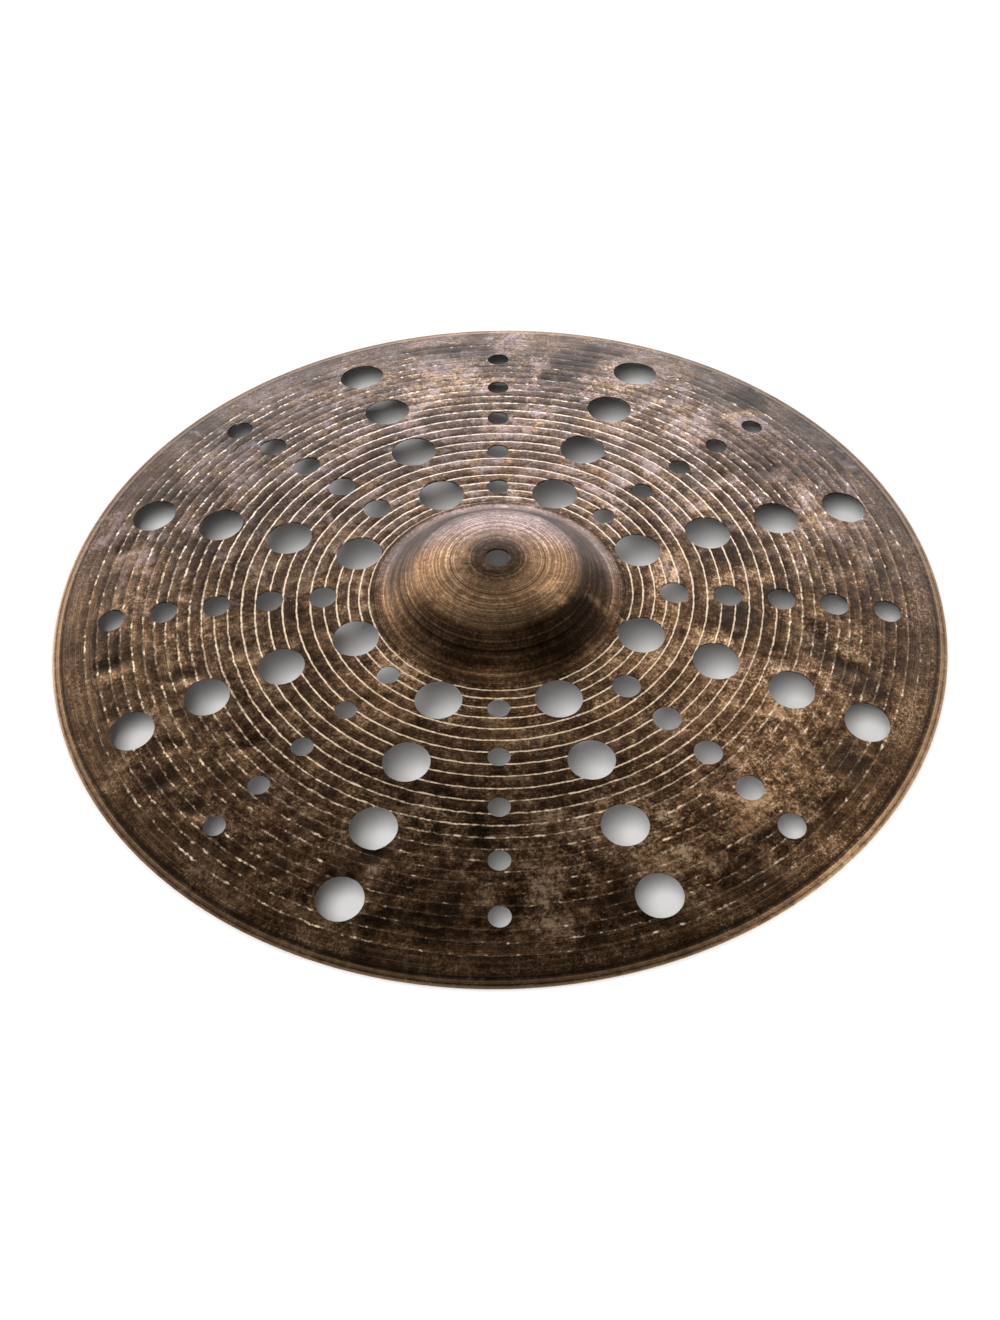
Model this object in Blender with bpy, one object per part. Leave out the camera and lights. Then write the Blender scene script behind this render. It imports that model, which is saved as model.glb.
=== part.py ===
"""Perforated crash cymbal, 18 in: one cast, hammered and lathed bronze plate.

Frame: metres, +Z up, origin at the centre of the rim's lowest plane, bell up.
The plate is a turned profile (bell, bow and edge) swept about Z, then drilled
with a mounting hole, eight rays of large holes and eight rays of small holes.
"""
import math

import bmesh
import bpy
from mathutils import Matrix, Vector

MM = 0.001

# Driving dimensions, in millimetres.
RIM_RADIUS = 228.6
EDGE_THICKNESS = 0.8
BOW_THICKNESS = 1.05
BELL_THICKNESS = 1.5
RIM_CHAMFER = 0.2
RIM_LAND_WIDTH = 0.8
RIM_LAND_RUNOUT = 1.0

# The bow falls ever faster outwards: slope = a + b*t + c*t*t, with t = r / RIM_RADIUS.
BOW_SLOPE_A = 0.097
BOW_SLOPE_B = -0.204
BOW_SLOPE_C = 0.422

BELL_TOP_HEIGHT = 52.1
BELL_SEAT_RADIUS = 9.0
BELL_DOME_RADIUS = 110.0
BELL_DOME_END = 40.0
BELL_SHOULDER_RADIUS = 14.0
BELL_FLANK_ANGLE = math.radians(46.0)
BELL_FOOT_RADIUS = 12.0

MOUNTING_HOLE_DIAMETER = 12.2
LARGE_HOLE_DIAMETER = 23.6
SMALL_HOLE_DIAMETER = 11.3
MEDIUM_HOLE_DIAMETER = 14.4

RAY_PITCH = math.radians(45.0)
LARGE_RAY_START = math.radians(22.5)
LARGE_HOLE_RADII = [77.5 + 39.8 * step for step in range(4)]
SMALL_HOLE_RADII = [77.5 + 29.1 * step for step in range(5)]
MEDIUM_HOLE_RADII = [89.3 + 27.3 * step for step in range(5)]
SMALL_HOLE_RAYS = (1, 2, 5, 6)

# Faceting of the sweep and of the drilled holes.
SWEEP_STEPS = 64
DOME_STEPS = 4
ARC_STEPS = 2
BOW_STEPS = 7
LARGE_HOLE_SIDES = 16
SMALL_HOLE_SIDES = 10
CUTTER_LENGTH = 12.0
WELD_DISTANCE = 0.00005

BRONZE_COLOUR = (0.20, 0.13, 0.075, 1.0)
BRONZE_ROUGHNESS = 0.42


def clear_scene():
    for item in list(bpy.data.objects):
        bpy.data.objects.remove(item, do_unlink=True)


def bow_slope(radius):
    """Fall of the bow per unit of radius."""
    t = radius / RIM_RADIUS
    return BOW_SLOPE_A + BOW_SLOPE_B * t + BOW_SLOPE_C * t * t


def bow_height(radius):
    """Height of the bow's top face above the rim's lowest plane."""
    def fallen(t):
        return BOW_SLOPE_A * t + BOW_SLOPE_B * t * t / 2 + BOW_SLOPE_C * t ** 3 / 3

    return EDGE_THICKNESS + RIM_RADIUS * (fallen(1.0) - fallen(radius / RIM_RADIUS))


def dome_point(radius):
    """Point of the bell's crown, a sphere cap; flat where the felts sit."""
    outer = max(radius, BELL_SEAT_RADIUS)
    seat_drop = BELL_DOME_RADIUS - math.sqrt(BELL_DOME_RADIUS ** 2 - BELL_SEAT_RADIUS ** 2)
    drop = BELL_DOME_RADIUS - math.sqrt(BELL_DOME_RADIUS ** 2 - outer ** 2) - seat_drop
    return (radius, BELL_TOP_HEIGHT - drop)


def shoulder_point(slope_angle):
    """Point of the shoulder arc, which turns the crown down into the flank."""
    start_angle = math.asin(BELL_DOME_END / BELL_DOME_RADIUS)
    start_radius, start_height = dome_point(BELL_DOME_END)
    radius = start_radius + BELL_SHOULDER_RADIUS * (math.sin(slope_angle) - math.sin(start_angle))
    height = start_height - BELL_SHOULDER_RADIUS * (math.cos(start_angle) - math.cos(slope_angle))
    return (radius, height)


def foot_point(foot_radius, slope_angle):
    """Point of the hollow arc that runs the flank out onto the bow at foot_radius."""
    bow_angle = math.atan(bow_slope(foot_radius))
    radius = foot_radius - BELL_FOOT_RADIUS * (math.sin(slope_angle) - math.sin(bow_angle))
    height = bow_height(foot_radius) + BELL_FOOT_RADIUS * (math.cos(bow_angle) - math.cos(slope_angle))
    return (radius, height)


def find_foot_radius():
    """Radius at which the foot arc meets both the straight flank and the bow."""
    flank_radius, flank_height = shoulder_point(BELL_FLANK_ANGLE)
    low = flank_radius + BELL_FOOT_RADIUS
    high = flank_radius * 2
    for _ in range(60):
        middle = (low + high) / 2
        start_radius, start_height = foot_point(middle, BELL_FLANK_ANGLE)
        on_flank = flank_height - math.tan(BELL_FLANK_ANGLE) * (start_radius - flank_radius)
        if on_flank > start_height:
            low = middle
        else:
            high = middle
    return middle


def spread(first, last, steps):
    """Evenly spaced values from first to last, both included."""
    return [first + (last - first) * step / steps for step in range(steps + 1)]


def top_profile():
    """Top face from the mounting hole to the rim, as (radius, height)."""
    foot_radius = find_foot_radius()
    dome_angle = math.asin(BELL_DOME_END / BELL_DOME_RADIUS)
    foot_angle = math.atan(bow_slope(foot_radius))
    points = [(MOUNTING_HOLE_DIAMETER / 2, BELL_TOP_HEIGHT)]
    points += [dome_point(radius) for radius in spread(BELL_SEAT_RADIUS, BELL_DOME_END, DOME_STEPS)]
    points += [shoulder_point(angle) for angle in spread(dome_angle, BELL_FLANK_ANGLE, ARC_STEPS)[1:]]
    points += [foot_point(foot_radius, angle) for angle in spread(BELL_FLANK_ANGLE, foot_angle, ARC_STEPS)]
    bow_end = RIM_RADIUS - RIM_CHAMFER
    points += [(radius, bow_height(radius)) for radius in spread(foot_radius, bow_end, BOW_STEPS)[1:]]
    return points


def thickness(radius):
    """Wall thickness: thick bell, thin bow, thinnest at the edge."""
    foot_radius = find_foot_radius()
    if radius <= BELL_DOME_END:
        return BELL_THICKNESS
    if radius <= foot_radius:
        share = (radius - BELL_DOME_END) / (foot_radius - BELL_DOME_END)
        return BELL_THICKNESS + (BOW_THICKNESS - BELL_THICKNESS) * share
    share = (radius - foot_radius) / (RIM_RADIUS - foot_radius)
    return BOW_THICKNESS + (EDGE_THICKNESS - BOW_THICKNESS) * share


def under_profile(top):
    """Underside from the rim back to the mounting hole, offset square to the top face."""
    land_end = RIM_RADIUS - RIM_CHAMFER - RIM_LAND_WIDTH
    runout_end = land_end - RIM_LAND_RUNOUT
    points = [(land_end, 0.0)]
    runout_wall = EDGE_THICKNESS / math.cos(math.atan(bow_slope(runout_end)))
    points.append((runout_end, bow_height(runout_end) - runout_wall))
    for index in range(len(top) - 2, 1, -1):
        before = Vector(top[index - 1])
        after = Vector(top[index + 1])
        along = (after - before).normalized()
        inward = Vector((along.y, -along.x))
        point = Vector(top[index]) + inward * thickness(top[index][0])
        points.append((point.x, point.y))
    points.append((BELL_SEAT_RADIUS, BELL_TOP_HEIGHT - BELL_THICKNESS))
    points.append((MOUNTING_HOLE_DIAMETER / 2, BELL_TOP_HEIGHT - BELL_THICKNESS))
    return points


def plate_profile():
    """Closed outline of the wall, clockwise: top face outwards, rim, underside inwards."""
    top = top_profile()
    rim_top = bow_height(RIM_RADIUS) - RIM_CHAMFER
    rim = [(RIM_RADIUS, rim_top), (RIM_RADIUS, RIM_CHAMFER), (RIM_RADIUS - RIM_CHAMFER, 0.0)]
    return top + rim + under_profile(top)


def make_plate():
    """The turned plate, before drilling: the outline swept once round Z."""
    outline = plate_profile()
    mesh = bpy.data.meshes.new("cymbal_plate")
    vertices = [(radius * MM, 0.0, height * MM) for radius, height in outline]
    edges = [(index, (index + 1) % len(outline)) for index in range(len(outline))]
    mesh.from_pydata(vertices, edges, [])
    plate = bpy.data.objects.new("cymbal_plate", mesh)
    bpy.context.scene.collection.objects.link(plate)
    sweep = plate.modifiers.new("sweep", "SCREW")
    sweep.axis = "Z"
    sweep.angle = math.tau
    sweep.steps = SWEEP_STEPS
    sweep.render_steps = SWEEP_STEPS
    sweep.use_merge_vertices = True
    sweep.merge_threshold = WELD_DISTANCE
    return plate


def add_drill(cutters, radius, angle, diameter, sides):
    """Add one drill, square to the bow at this radius and angle."""
    fall = math.atan(bow_slope(radius))
    centre = Vector((radius, 0.0, bow_height(radius))) * MM
    tilt = Matrix.Rotation(fall, 4, "Y")
    place = Matrix.Rotation(angle, 4, "Z") @ Matrix.Translation(centre) @ tilt
    bmesh.ops.create_cone(
        cutters,
        cap_ends=True,
        segments=sides,
        radius1=diameter / 2 * MM,
        radius2=diameter / 2 * MM,
        depth=CUTTER_LENGTH * MM,
        matrix=place,
    )


def make_drills():
    """All drills of the hole pattern in one cutter."""
    cutters = bmesh.new()
    for ray in range(8):
        for radius in LARGE_HOLE_RADII:
            angle = LARGE_RAY_START + ray * RAY_PITCH
            add_drill(cutters, radius, angle, LARGE_HOLE_DIAMETER, LARGE_HOLE_SIDES)
        fine = ray in SMALL_HOLE_RAYS
        diameter = SMALL_HOLE_DIAMETER if fine else MEDIUM_HOLE_DIAMETER
        for radius in SMALL_HOLE_RADII if fine else MEDIUM_HOLE_RADII:
            add_drill(cutters, radius, ray * RAY_PITCH, diameter, SMALL_HOLE_SIDES)
    mesh = bpy.data.meshes.new("hole_drills")
    cutters.to_mesh(mesh)
    cutters.free()
    drills = bpy.data.objects.new("hole_drills", mesh)
    bpy.context.scene.collection.objects.link(drills)
    drills.hide_render = True
    drills.display_type = "WIRE"
    return drills


def drill_plate(plate, drills):
    boolean = plate.modifiers.new("drilling", "BOOLEAN")
    boolean.operation = "DIFFERENCE"
    boolean.object = drills


def bronze_material():
    material = bpy.data.materials.new("patinated_bronze")
    material.use_nodes = True
    shader = material.node_tree.nodes["Principled BSDF"]
    shader.inputs["Base Color"].default_value = BRONZE_COLOUR
    shader.inputs["Metallic"].default_value = 1.0
    shader.inputs["Roughness"].default_value = BRONZE_ROUGHNESS
    return material


def main():
    clear_scene()
    plate = make_plate()
    drill_plate(plate, make_drills())
    plate.data.materials.append(bronze_material())
    plate.data.shade_smooth()


main()
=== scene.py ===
"""Looks of the perforated crash cymbal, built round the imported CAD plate.

Lengths are in millimetres until they are multiplied by MM; camera, floor and lights are in metres.
"""
import math

import bmesh
import bpy
import numpy as np
from mathutils import Matrix, Vector


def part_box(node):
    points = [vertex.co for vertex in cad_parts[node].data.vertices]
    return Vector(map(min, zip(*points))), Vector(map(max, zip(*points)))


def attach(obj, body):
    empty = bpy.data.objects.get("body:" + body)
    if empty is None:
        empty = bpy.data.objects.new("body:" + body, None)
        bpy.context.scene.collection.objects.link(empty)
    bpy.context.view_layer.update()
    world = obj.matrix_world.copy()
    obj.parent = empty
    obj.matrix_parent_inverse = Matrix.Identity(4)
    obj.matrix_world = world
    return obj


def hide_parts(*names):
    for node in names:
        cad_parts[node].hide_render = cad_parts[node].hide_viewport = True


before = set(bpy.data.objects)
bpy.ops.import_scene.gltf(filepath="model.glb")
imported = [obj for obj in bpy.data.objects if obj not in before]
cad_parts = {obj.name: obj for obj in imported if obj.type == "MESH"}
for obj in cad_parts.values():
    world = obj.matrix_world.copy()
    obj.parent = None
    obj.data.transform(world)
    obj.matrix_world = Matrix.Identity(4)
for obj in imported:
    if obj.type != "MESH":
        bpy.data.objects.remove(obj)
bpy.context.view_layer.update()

MM = 0.001
TAU = math.tau
NODE = "cymbal_plate"
BODY = "root"
SEED = 18

# ---- plate profile -------------------------------------------------------------------------------
low_corner, high_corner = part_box(NODE)
RIM_RADIUS = (high_corner.x - low_corner.x) / 2 / MM
BELL_TOP = high_corner.z / MM
EDGE_THICKNESS = 0.8
BOW_THICKNESS = 1.05
BELL_THICKNESS = 1.5
BOW_SLOPE = (0.097, -0.204, 0.422)
BELL_SEAT = 9.0
DOME_RADIUS = 110.0
DOME_END = 40.0
SHOULDER_RADIUS = 14.0
FLANK_ANGLE = math.radians(46.0)
FOOT_RADIUS = 12.0

# ---- drilled holes -------------------------------------------------------------------------------
MOUNTING_HOLE = 12.2
LARGE_HOLE = 23.6
SMALL_HOLE = 11.3
MEDIUM_HOLE = 14.4
LARGE_RADII = [77.5 + 39.8 * step for step in range(4)]
SMALL_RADII = [77.5 + 29.1 * step for step in range(5)]
MEDIUM_RADII = [89.3 + 27.3 * step for step in range(5)]
RAYS = 8
SMALL_RAYS = (1, 2, 5, 6)
HOLE_EDGE_WEAR = 0.22
DRILL_MARGIN = 1.0
LARGE_SIDES = 56
FINE_SIDES = 36

# ---- lathe work ----------------------------------------------------------------------------------
# The spiral's (radius, pitch) from the bell's foot to the edge.
LATHE_PITCH = [
    (63.5, 3.6), (68.0, 4.9), (72.0, 5.6), (97.0, 7.1),
    (137.0, 7.0), (174.0, 5.75), (190.0, 5.9), (222.0, 6.6),
]
MEAN_PITCH = 6.5
FIRST_LINE_RADIUS = 68.0
SPIRAL_START = 64.0
SPIRAL_END = 217.5
# The mesh follows the turns from the first number up to the second.
SPIRAL_TURNS = (-1, 23)
GROOVE_HALF_WIDTH = 0.42
GROOVE_DEPTH = 0.09
RIM_GROOVE = 223.3
# Turned grooves near the edge: (radius, half width, depth).
GROOVE_RINGS = [(RIM_GROOVE, 0.8, 0.12), (226.5, 0.35, 0.05), (220.4, 0.35, 0.04), (218.6, 0.35, 0.04)]
# Fine waves on the bell and below the bow: (height, radians in each millimetre, phase).
BELL_WAVES = [(0.035, 1.27, 0.0), (0.03, 0.83, 1.0)]
UNDER_WAVE = (0.03, 2.1, 0.0)

# ---- rings of the finer mesh ---------------------------------------------------------------------
COLUMNS = 420
COLUMN_ANGLES = np.arange(COLUMNS) * TAU / COLUMNS
CROWN_RING = 7.2
BELL_RINGS = 34
RIM_RINGS = [
    219.6, 220.05, 220.4, 220.75, 221.6, 222.1, 222.5, 222.9,
    223.3, 223.7, 224.4, 225.4, 226.15, 226.5, 226.85, 227.5,
]
EDGE_ROUNDING = 0.42
EDGE_RINGS = 6
LAND_INSET = 1.0
UNDER_EDGE_INSET = 2.4
UNDER_BOW_INSET = 7.0
UNDER_BOW_RINGS = 30
SHARP_ANGLE = math.radians(32)


def bow_slope(radius):
    t = radius / RIM_RADIUS
    return BOW_SLOPE[0] + BOW_SLOPE[1] * t + BOW_SLOPE[2] * t * t


def bow_height(radius):
    def fallen(t):
        return BOW_SLOPE[0] * t + BOW_SLOPE[1] * t * t / 2 + BOW_SLOPE[2] * t ** 3 / 3

    return EDGE_THICKNESS + RIM_RADIUS * (fallen(1.0) - fallen(radius / RIM_RADIUS))


def bell_profile():
    """Dense (radius, height) outline of the bell: flat seat, domed crown, shoulder, flank, hollow foot."""
    seat_drop = DOME_RADIUS - math.sqrt(DOME_RADIUS ** 2 - BELL_SEAT ** 2)
    crown_radii = np.linspace(BELL_SEAT, DOME_END, 24)
    crown_drop = DOME_RADIUS - np.sqrt(DOME_RADIUS ** 2 - crown_radii ** 2) - seat_drop
    crown = np.column_stack([crown_radii, BELL_TOP - crown_drop])
    angles = np.linspace(math.asin(DOME_END / DOME_RADIUS), FLANK_ANGLE, 12)
    shoulder = crown[-1] + SHOULDER_RADIUS * np.column_stack([
        np.sin(angles) - math.sin(angles[0]),
        np.cos(angles) - math.cos(angles[0]),
    ])
    flank_radius, flank_height = shoulder[-1]
    low, high = flank_radius + FOOT_RADIUS, flank_radius * 2
    for _ in range(60):
        foot = (low + high) / 2
        bow_angle = math.atan(bow_slope(foot))
        start_radius = foot - FOOT_RADIUS * (math.sin(FLANK_ANGLE) - math.sin(bow_angle))
        start_height = bow_height(foot) + FOOT_RADIUS * (math.cos(bow_angle) - math.cos(FLANK_ANGLE))
        on_flank = flank_height - math.tan(FLANK_ANGLE) * (start_radius - flank_radius)
        if on_flank > start_height:
            low = foot
        else:
            high = foot
    foot_angles = np.linspace(FLANK_ANGLE, bow_angle, 14)
    hollow = np.column_stack([
        foot - FOOT_RADIUS * (np.sin(foot_angles) - math.sin(bow_angle)),
        bow_height(foot) + FOOT_RADIUS * (math.cos(bow_angle) - np.cos(foot_angles)),
    ])
    return np.vstack([[(0.0, BELL_TOP)], crown, shoulder[1:], hollow])


BELL = bell_profile()
BELL_FOOT = float(BELL[-1, 0])


def top_height(radius):
    """Height of the top face before hammering and lathe work."""
    radius = np.asarray(radius, float)
    on_bell = np.interp(radius, BELL[:, 0], BELL[:, 1])
    return np.where(radius < BELL_FOOT, on_bell, bow_height(np.maximum(radius, BELL_FOOT)))


def wall_drop(radius):
    """Vertical distance from the top face to the underside."""
    radius = np.asarray(radius, float)
    step = 0.5
    slope = (top_height(radius - step) - top_height(radius + step)) / (2 * step)
    ends = [DOME_END, BELL_FOOT, RIM_RADIUS]
    wall = np.interp(radius, ends, [BELL_THICKNESS, BOW_THICKNESS, EDGE_THICKNESS])
    return wall * np.sqrt(1 + slope ** 2)


def rise(value, start, width):
    """0 up to start, then a straight rise to 1 over the width."""
    return np.clip((value - start) / width, 0, 1)


def fall(value, end, width):
    """1, then a straight fall over the width to 0 at end."""
    return np.clip((end - value) / width, 0, 1)


# ---- lathe spiral --------------------------------------------------------------------------------
def spiral_table():
    """Radius against turns: the tool feeds outwards by the local pitch in each turn."""
    radii = np.linspace(60.0, RIM_RADIUS, 4000)
    knots = np.array(LATHE_PITCH)
    pitch = np.interp(radii, knots[:, 0], knots[:, 1])
    turns = np.concatenate([[0.0], np.cumsum(np.diff(radii) / ((pitch[1:] + pitch[:-1]) / 2))])
    return radii, turns - np.interp(FIRST_LINE_RADIUS, radii, turns)


SPIRAL_RADII, SPIRAL_COUNT = spiral_table()


def turns_at(radius, angle):
    """Turns past the first line; whole numbers lie on the lathe line."""
    return np.interp(radius, SPIRAL_RADII, SPIRAL_COUNT) - angle / TAU


def radius_at(turns):
    return np.interp(turns, SPIRAL_COUNT, SPIRAL_RADII)


def pitch_at(radius):
    knots = np.array(LATHE_PITCH)
    return np.interp(radius, knots[:, 0], knots[:, 1])


def wave_height(radius, size, frequency, phase):
    return size * np.sin(radius * frequency + phase)


def lathe_height(radius, angle):
    """Tool marks: the spiral groove on the bow, grooves at the edge and fine waves on the bell."""
    turns = turns_at(radius, angle)
    distance = np.abs(turns - np.round(turns)) * pitch_at(radius)
    fade = rise(radius, SPIRAL_START, 3.0) * fall(radius, SPIRAL_END, 2.0)
    height = -GROOVE_DEPTH * np.clip(1 - distance / GROOVE_HALF_WIDTH, 0, 1) * fade
    for ring, half_width, depth in GROOVE_RINGS:
        height = height - depth * np.clip(1 - np.abs(radius - ring) / half_width, 0, 1)
    on_bell = rise(radius, 10.0, 6.0) * fall(radius, BELL_FOOT - 4.0, 5.0)
    return height + on_bell * sum(wave_height(radius, *wave) for wave in BELL_WAVES)


# ---- hammering -----------------------------------------------------------------------------------
# Deep marks, one by one: (x, y, length, width, direction in degrees, strength).
DEEP_MARKS = [
    (-196, 52, 13, 7, 15, 0.30),
    (-194, -31, 12, 8, 10, 0.45),
    (-154, -45, 14, 7, 5, 0.40),
    (-188, -62, 10, 7, 20, 0.25),
    (-128, -32, 14, 8, 0, 0.22),
    (-160, -88, 12, 7, -10, 0.45),
    (-162, -108, 11, 6, 10, 0.35),
    (-147, -127, 14, 7, -20, 0.40),
    (-122, -92, 12, 8, 0, 0.40),
    (-110, -128, 13, 7, -15, 0.30),
    (-59, -158, 12, 8, 0, 0.35),
    (-32, -174, 13, 8, 10, 0.35),
    (-46, -132, 11, 7, 0, 0.25),
    (40, -188, 13, 7, 10, 0.22),
    (66, -150, 14, 7, 25, 0.25),
    (158, -22, 15, 7, -35, 0.30),
    (174, -42, 14, 7, -30, 0.30),
    (120, 92, 13, 8, 40, 0.25),
    (146, 100, 14, 8, 40, 0.28),
    (52, 192, 16, 8, 10, 0.30),
    (30, 172, 13, 7, 0, 0.20),
    (-88, 182, 16, 8, 30, 0.22),
    (-150, 128, 14, 8, 40, 0.20),
    (112, -26, 13, 7, -20, 0.22),
]
# The dent of a deep mark: its size against the mark, and its depth at strength 1.
DENT_SIZE = 0.8
DENT_DEPTH = 2.4
DENT_FALLOFF = 1.6
# The shallow marks between them are scattered about rings.
HAMMER_RADII = np.arange(80.0, 218.0, 11.0)
HAMMER_SPACING = 14.0
HAMMER_SCATTER = 4.0
HAMMER_LENGTHS = (4.5, 8.0)
HAMMER_WIDTHS = (3.5, 5.5)
HAMMER_DEPTHS = (0.03, 0.16)


def hammer_marks():
    """All marks as rows of x, y, length, width, direction in radians, depth."""
    rng = np.random.default_rng(SEED)
    rows = [
        (x, y, length * DENT_SIZE, width * DENT_SIZE, math.radians(turn), strength * DENT_DEPTH)
        for x, y, length, width, turn, strength in DEEP_MARKS
    ]
    for radius in HAMMER_RADII:
        count = int(TAU * radius / HAMMER_SPACING)
        growth = min(1.0, (radius - 60.0) / 90.0)
        for index in range(count):
            angle = TAU * (index + rng.uniform(-0.35, 0.35)) / count
            place = radius + rng.uniform(-HAMMER_SCATTER, HAMMER_SCATTER)
            rows.append((
                place * math.cos(angle), place * math.sin(angle),
                rng.uniform(*HAMMER_LENGTHS), rng.uniform(*HAMMER_WIDTHS), angle + rng.uniform(-0.5, 0.5),
                rng.uniform(*HAMMER_DEPTHS) * growth,
            ))
    return np.array(rows)


HAMMER_MARKS = hammer_marks()


def hammer_height(x, y):
    """Shallow dents left by the hammer, as a height below the lathe-true surface."""
    height = np.zeros_like(x)
    for mark_x, mark_y, length, width, turn, depth in HAMMER_MARKS:
        reach = 2.2 * length
        near = (np.abs(x - mark_x) < reach) & (np.abs(y - mark_y) < reach)
        if not near.any():
            continue
        dx, dy = x[near] - mark_x, y[near] - mark_y
        along = (dx * math.cos(turn) + dy * math.sin(turn)) / length
        across = (-dx * math.sin(turn) + dy * math.cos(turn)) / width
        height[near] -= depth * np.exp(-DENT_FALLOFF * (along ** 2 + across ** 2))
    return height


def hammered_part(radius):
    """1 on the bow, 0 where the bell and the rim keep their true shape."""
    return rise(radius, BELL_FOOT, 14.0) * fall(radius, RIM_RADIUS - 4.0, 8.0)


# ---- building the mesh ---------------------------------------------------------------------------
def rounded_rim():
    """Points round the rim, from the top face over the outer edge to the lowest land."""
    half = EDGE_THICKNESS / 2
    centre = RIM_RADIUS - EDGE_ROUNDING
    angles = np.linspace(math.radians(80), math.radians(-90), EDGE_RINGS)
    return [(centre + EDGE_ROUNDING * math.cos(a), half + half * math.sin(a)) for a in angles]


def circle(radius, height):
    """One ring of points; radius and height may vary with the angle."""
    x, y = radius * np.cos(COLUMN_ANGLES), radius * np.sin(COLUMN_ANGLES)
    return np.column_stack([x, y, np.broadcast_to(height, COLUMN_ANGLES.shape)])


def top_ring(radius):
    """One ring of points on the finished top face."""
    ring = circle(radius, 0.0)
    height = top_height(radius) + lathe_height(radius, COLUMN_ANGLES)
    ring[:, 2] = height + hammer_height(ring[:, 0], ring[:, 1]) * hammered_part(radius)
    return ring


def under_ring(radius):
    """One ring of points on the underside, with weaker tool marks."""
    ring = circle(radius, 0.0)
    dents = hammer_height(ring[:, 0], ring[:, 1]) * hammered_part(radius)
    wave = wave_height(radius, *UNDER_WAVE) * hammered_part(radius)
    ring[:, 2] = top_height(radius) - wall_drop(radius) + dents + wave
    return ring


class Shell:
    """Collects rings of points and the faces between them."""

    def __init__(self):
        self.points = []
        self.faces = []
        self.count = 0

    def add(self, ring):
        self.points.append(ring)
        first = self.count
        self.count += len(ring)
        return np.arange(first, self.count)

    def join(self, inner, outer):
        """Quads between two closed rings, facing up when outer has the larger radius."""
        after = np.roll(np.arange(COLUMNS), -1)
        quads = np.column_stack([inner, outer, outer[after], inner[after]])
        self.faces.extend(quads.tolist())

    def follow(self, last, rings):
        """Adds rings one after the other, each joined to the one before; returns the last one."""
        for points in rings:
            ring = self.add(points)
            self.join(last, ring)
            last = ring
        return last

    def open_strip(self, inner, outer):
        """Quads between two rings that stay open at the seam."""
        quads = np.column_stack([inner[:-1], outer[:-1], outer[1:], inner[1:]])
        self.faces.extend(quads.tolist())

    def spiral(self, inner, outer, turns, offsets):
        """The bow's top: rings that follow the lathe line, closed at the seam by a shift of one turn."""
        levels = [turn + offset for turn in range(*turns) for offset in offsets]
        rings = [self.add(top_ring(radius_at(level + COLUMN_ANGLES / TAU))) for level in levels]
        step = len(offsets)
        starts = [int(ring[0]) for ring in rings]
        ends = [int(ring[-1]) for ring in rings]
        for low, high in zip(rings, rings[1:]):
            self.open_strip(low, high)
        for index in range(len(rings) - 1 - step):
            self.faces.append([ends[index], ends[index + 1], starts[index + 1 + step], starts[index + step]])
        self.open_strip(inner, rings[0])
        self.faces.append([int(inner[-1]), ends[0], *starts[step::-1], int(inner[0])])
        self.open_strip(rings[-1], outer)
        self.faces.append([*ends[-1 - step:], int(outer[-1]), int(outer[0]), starts[-1]])


def bell_rings():
    """Ring radii on the bell, evenly spaced along its outline."""
    fine = np.linspace(BELL_SEAT, BELL_FOOT, 400)
    along = np.concatenate([[0.0], np.cumsum(np.hypot(np.diff(fine), np.diff(top_height(fine))))])
    return np.interp(np.linspace(0, along[-1], BELL_RINGS), along, fine)


def solid_plate():
    """The closed plate before drilling: from the mounting hole over the top and the rim, and back below."""
    shell = Shell()
    hole = MOUNTING_HOLE / 2
    worn_hole = hole + HOLE_EDGE_WEAR
    mouth = shell.add(circle(hole, BELL_TOP - HOLE_EDGE_WEAR))
    foot = shell.follow(mouth, [top_ring(radius) for radius in [worn_hole, CROWN_RING, *bell_rings()]])
    edge = shell.add(top_ring(RIM_RINGS[0]))
    groove = GROOVE_HALF_WIDTH / MEAN_PITCH
    shell.spiral(foot, edge, SPIRAL_TURNS, [0.0, groove, 0.5, 1 - groove])
    edge = shell.follow(edge, [top_ring(radius) for radius in RIM_RINGS[1:]])
    edge = shell.follow(edge, [circle(radius, height) for radius, height in rounded_rim()])
    land = shell.follow(edge, [circle(RIM_RADIUS - LAND_INSET, 0.0)])
    under_bow = np.linspace(RIM_RADIUS - UNDER_BOW_INSET, BELL_FOOT + 2.0, UNDER_BOW_RINGS)
    under_bell = bell_rings()[::-2][:-1]
    under_radii = [RIM_RADIUS - UNDER_EDGE_INSET, *under_bow, *under_bell, BELL_SEAT, worn_hole]
    crown = shell.follow(land, [under_ring(radius) for radius in under_radii])
    low_mouth = shell.follow(crown, [circle(hole, BELL_TOP - BELL_THICKNESS + HOLE_EDGE_WEAR)])
    shell.join(low_mouth, mouth)
    mesh = bpy.data.meshes.new("cymbal_plate_finished")
    mesh.from_pydata((np.vstack(shell.points) * MM).tolist(), [], shell.faces)
    plate = bpy.data.objects.new("cymbal_plate_finished", mesh)
    bpy.context.scene.collection.objects.link(plate)
    return plate


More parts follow.
